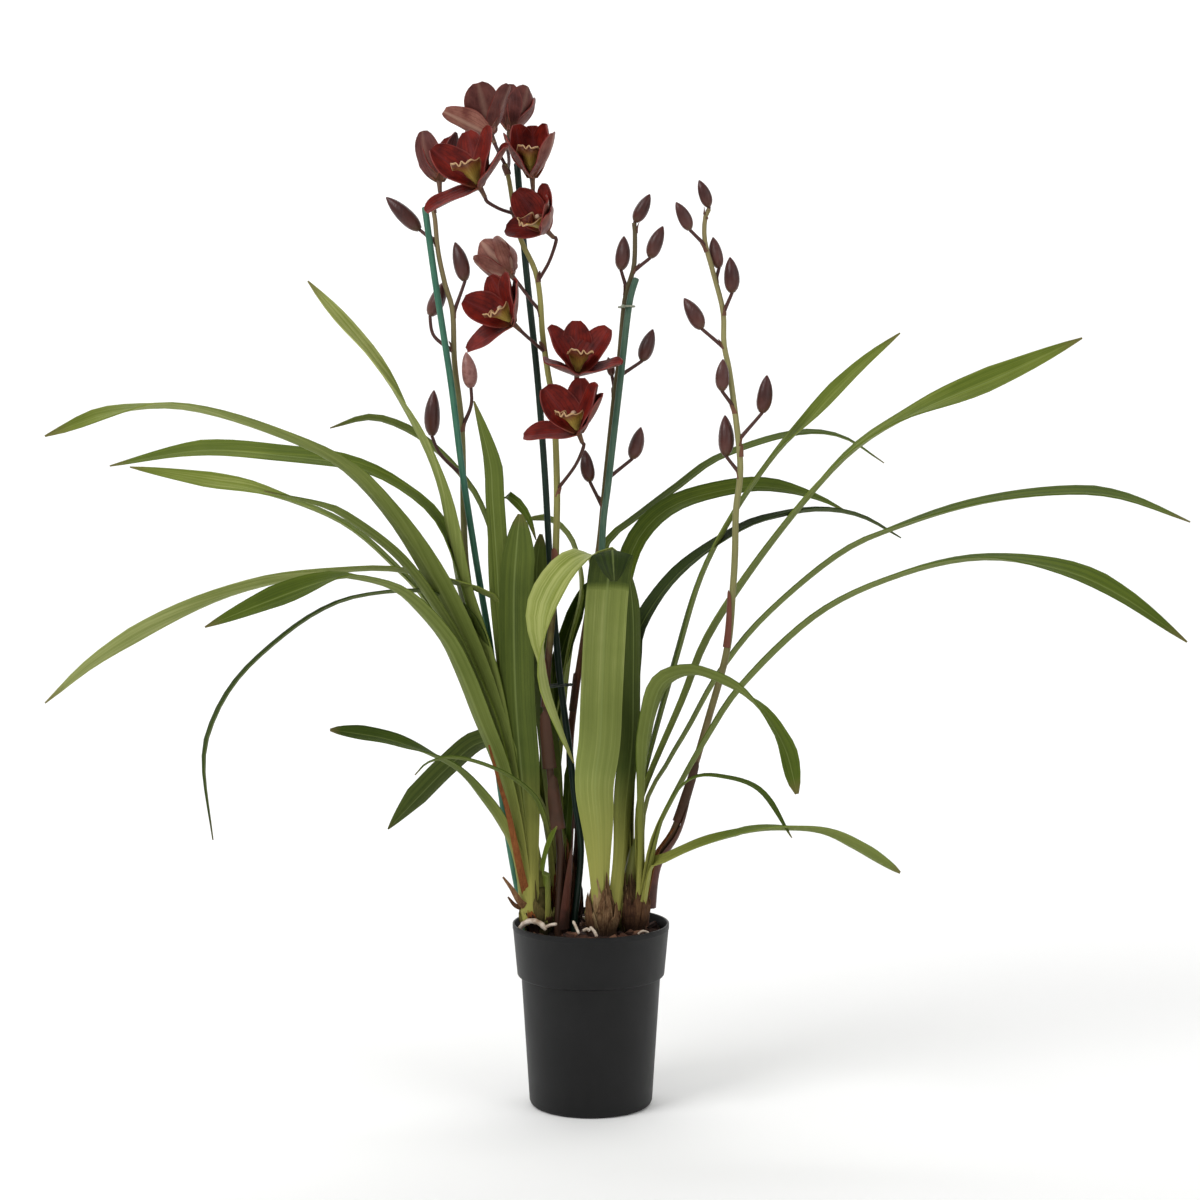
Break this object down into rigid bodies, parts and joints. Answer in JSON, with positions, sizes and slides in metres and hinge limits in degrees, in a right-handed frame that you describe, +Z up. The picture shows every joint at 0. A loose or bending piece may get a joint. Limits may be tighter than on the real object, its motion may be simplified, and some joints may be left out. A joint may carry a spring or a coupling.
{
  "type": "potted cymbidium orchid",
  "caption": "Flowering cymbidium orchid in a stepped charcoal nursery pot, with strap leaves, staked flower spikes, closed buds and burgundy blooms.",
  "frame": {"origin": "centre of the pot's underside, on the surface that it stands on", "axes": "+Z up, -Y towards the viewer of the front view, +X to the viewer's right"},
  "size_m": [0.81, 0.2982, 0.7817],
  "materials": {
    "pot": "matte charcoal moulded plastic",
    "potting_mix": "loose dark bark",
    "sheath": "dry papery brown sheath",
    "leaf": "satin leaf, green",
    "stake_teal": "semi-gloss teal coat",
    "stake_dark": "semi-gloss dark green coat",
    "tie": "soft coated wire",
    "spike": "satin stem, green to brown, with dark buds",
    "bloom": "velvet-like petal, deep burgundy",
    "lip": "waxy petal, ochre and burgundy"
  },
  "bodies": {
    "root": {"pot": "pot", "potting_mix": "potting_mix", "bulb_left": "sheath", "bulb_middle": "sheath", "bulb_front": "sheath", "bulb_right": "sheath", "leaves_left": "leaf", "leaves_middle": "leaf", "leaves_front": "leaf", "leaves_right": "leaf", "stake_left": "stake_teal", "stake_middle": "stake_dark", "stake_right": "stake_teal", "tie_left": "tie", "tie_middle": "tie", "tie_right": "tie", "spike_1": "spike", "spike_2": "spike", "spike_3": "spike", "spike_4": "spike", "bloom_1": "bloom", "bloom_2": "bloom", "bloom_3": "bloom", "bloom_4": "bloom", "bloom_5": "bloom", "bloom_6": "bloom", "bloom_7": "bloom", "bloom_8": "bloom", "bloom_9": "bloom", "bloom_10": "bloom", "lip_1": "lip", "lip_2": "lip", "lip_3": "lip", "lip_4": "lip", "lip_5": "lip", "lip_6": "lip", "lip_7": "lip", "lip_8": "lip", "lip_9": "lip", "lip_10": "lip"}
  },
  "joints": []
}
